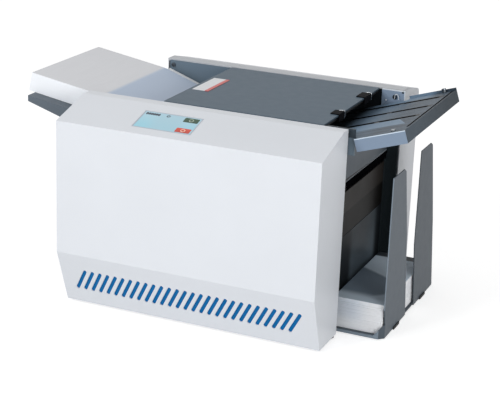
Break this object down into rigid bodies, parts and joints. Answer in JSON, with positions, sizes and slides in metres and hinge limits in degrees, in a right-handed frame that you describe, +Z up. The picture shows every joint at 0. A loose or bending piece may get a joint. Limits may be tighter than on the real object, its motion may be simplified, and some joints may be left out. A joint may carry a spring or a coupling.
{
  "type": "paper folding machine",
  "caption": "Desktop motor-driven paper folder: sheets feed over a ramp into fold rollers and buckle plates, are pressed flat and drop into a catch tray.",
  "frame": {"origin": "on the floor plane, under the middle of the whole machine with its trays", "axes": "+X the way the paper travels (towards the catch tray), +Y to the machine's rear, +Z up"},
  "size_m": [0.633, 0.4528, 0.3383],
  "materials": {
    "white_paint": "fine satin powder coat",
    "lid_grey": "satin blue-grey paint",
    "frame_grey": "satin blue-grey paint",
    "bracket_blue": "satin pale blue-grey paint",
    "tray_grey": "satin dark grey paint",
    "plate_grey": "lightly brushed, grey lacquer",
    "cap_grey": "satin grey paint",
    "zinc_steel": "zinc plated sheet",
    "guide_silver": "anodised",
    "vent_blue": "matt blue",
    "bezel_grey": "gloss",
    "screen_glass": "lit touch screen under glass",
    "clip_black": "matt black",
    "marker_white": "white with a red edge",
    "paper_white": "uncoated paper",
    "foot_rubber": "matt black rubber",
    "roller_rubber": "ground rubber",
    "roller_steel": "ground steel",
    "gear_plastic": "natural acetal",
    "pulley_aluminium": "turned",
    "belt_rubber": "matt rubber",
    "bush_brass": "sintered bronze",
    "brush_black": "black bristle",
    "smoked_window": "smoked, glossy",
    "panel_dark": "satin near-black",
    "motor_black": "black enamel",
    "board_green": "solder mask",
    "supply_metal": "folded sheet",
    "inlet_black": "moulded black",
    "screw_steel": "bright plated"
  },
  "bodies": {
    "machine": {"base_plate": "zinc_steel", "control_board": "board_green", "cross_bars": "zinc_steel", "display_bezel": "bezel_grey", "drive_belt": "belt_rubber", "drive_motor": "motor_black", "exit_brush": "brush_black", "exit_deflector": "tray_grey", "exit_panel": "panel_dark", "exit_window": "smoked_window", "feed_belt": "belt_rubber", "feed_ramp": "zinc_steel", "feed_stack": "paper_white", "feed_tray": "tray_grey", "fold_plate_brackets": "bracket_blue", "front_cover": "white_paint", "front_side_frame": "frame_grey", "hinge_pin": "zinc_steel", "infeed_panel": "zinc_steel", "lower_fold_plate": "zinc_steel", "machine_feet": "foot_rubber", "power_inlet": "inlet_black", "power_supply": "supply_metal", "rear_cover": "white_paint", "rear_side_frame": "frame_grey", "roller_bushes": "bush_brass", "screws": "screw_steel", "separator_pad": "roller_rubber", "touch_screen": "screen_glass", "upper_fold_plate": "plate_grey", "upper_plate_end_cap": "cap_grey", "vent_screen": "vent_blue"},
    "lid": {"top_cover": "lid_grey", "hinge_clips": "clip_black", "marker_plate": "marker_white"},
    "front_guide": {"front_paper_guide": "guide_silver"},
    "rear_guide": {"rear_paper_guide": "guide_silver"},
    "upper_stop": {"upper_paper_stop": "zinc_steel"},
    "lower_stop": {"lower_paper_stop": "zinc_steel"},
    "feed_shaft": {"feed_roller": "roller_rubber", "feed_pulley": "pulley_aluminium"},
    "fold_shaft_1": {"fold_roller_1": "roller_rubber", "fold_gear_1": "gear_plastic"},
    "fold_shaft_2": {"fold_roller_2": "roller_rubber", "fold_gear_2": "gear_plastic", "main_pulley": "pulley_aluminium"},
    "fold_shaft_3": {"fold_roller_3": "roller_rubber", "fold_gear_3": "gear_plastic"},
    "fold_shaft_4": {"fold_roller_4": "roller_rubber", "fold_gear_4": "gear_plastic"},
    "idler": {"idler_gear": "gear_plastic"},
    "seal_shaft_lower": {"seal_roller_lower": "roller_steel", "seal_gear_lower": "gear_plastic"},
    "seal_shaft_upper": {"seal_roller_upper": "roller_steel", "seal_gear_upper": "gear_plastic"},
    "motor_shaft": {"motor_pulley": "pulley_aluminium"},
    "catch": {"catch_tray": "tray_grey", "tray_feet": "foot_rubber", "delivered_stack": "paper_white"},
    "switch": {"power_switch": "inlet_black"}
  },
  "joints": [
    {"name": "lid_hinge", "type": "hinge", "parent": "machine", "child": "lid", "pos_m": [0.18347, 0.00655, 0.3165], "axis": [0, 1, 0], "range_deg": [0, 85]},
    {"name": "rear_guide_slide", "type": "slide", "parent": "machine", "child": "rear_guide", "axis": [0, 1, 0], "range_m": [0, 0.0065]},
    {"name": "front_guide_slide", "type": "slide", "parent": "machine", "child": "front_guide", "axis": [0, -1, 0], "range_m": [0, 0.0065]},
    {"name": "upper_stop_slide", "type": "slide", "parent": "machine", "child": "upper_stop", "axis": [0.9511, 0, 0.309], "range_m": [-0.06, 0.05]},
    {"name": "lower_stop_slide", "type": "slide", "parent": "machine", "child": "lower_stop", "axis": [0.309, 0, -0.9511], "range_m": [-0.06, 0.06]},
    {"name": "seal_lower_spin", "type": "hinge", "parent": "machine", "child": "seal_shaft_lower", "pos_m": [0.17247, 0.00655, 0.217], "axis": [0, 1, 0], "continuous": true},
    {"name": "seal_upper_spin", "type": "hinge", "parent": "machine", "child": "seal_shaft_upper", "pos_m": [0.17247, 0.00655, 0.247], "axis": [0, 1, 0], "continuous": true},
    {"name": "idler_spin", "type": "hinge", "parent": "machine", "child": "idler", "pos_m": [0.14766, 0.00655, 0.20014], "axis": [0, 1, 0], "continuous": true},
    {"name": "fold_1_spin", "type": "hinge", "parent": "machine", "child": "fold_shaft_1", "pos_m": [0.08484, 0.00655, 0.27347], "axis": [0, 1, 0], "continuous": true},
    {"name": "fold_2_spin", "type": "hinge", "parent": "machine", "child": "fold_shaft_2", "pos_m": [0.09411, 0.00655, 0.24493], "axis": [0, 1, 0], "continuous": true},
    {"name": "fold_3_spin", "type": "hinge", "parent": "machine", "child": "fold_shaft_3", "pos_m": [0.12264, 0.00655, 0.25421], "axis": [0, 1, 0], "continuous": true},
    {"name": "fold_4_spin", "type": "hinge", "parent": "machine", "child": "fold_shaft_4", "pos_m": [0.13191, 0.00655, 0.22567], "axis": [0, 1, 0], "continuous": true},
    {"name": "feed_spin", "type": "hinge", "parent": "machine", "child": "feed_shaft", "pos_m": [-0.03753, 0.00655, 0.22386], "axis": [0, 1, 0], "continuous": true},
    {"name": "motor_spin", "type": "hinge", "parent": "machine", "child": "motor_shaft", "pos_m": [0.05647, 0.00655, 0.11], "axis": [0, 1, 0], "continuous": true},
    {"name": "catch_tray_slide", "type": "slide", "parent": "machine", "child": "catch", "axis": [1, 0, 0], "range_m": [0, 0.1]},
    {"name": "switch_rock", "type": "hinge", "parent": "machine", "child": "switch", "pos_m": [-0.08853, 0.22355, 0.05], "axis": [1, 0, 0], "range_deg": [-12, 0]}
  ],
  "couplings": [
    {"joint": "seal_upper_spin", "follows": "seal_lower_spin", "ratio": -1},
    {"joint": "idler_spin", "follows": "seal_lower_spin", "ratio": -1},
    {"joint": "fold_4_spin", "follows": "seal_lower_spin", "ratio": 1},
    {"joint": "fold_3_spin", "follows": "seal_lower_spin", "ratio": -1},
    {"joint": "fold_2_spin", "follows": "seal_lower_spin", "ratio": 1},
    {"joint": "fold_1_spin", "follows": "seal_lower_spin", "ratio": -1},
    {"joint": "feed_spin", "follows": "seal_lower_spin", "ratio": 1},
    {"joint": "motor_spin", "follows": "seal_lower_spin", "ratio": 1.75},
    {"joint": "front_guide_slide", "follows": "rear_guide_slide", "ratio": 1}
  ]
}
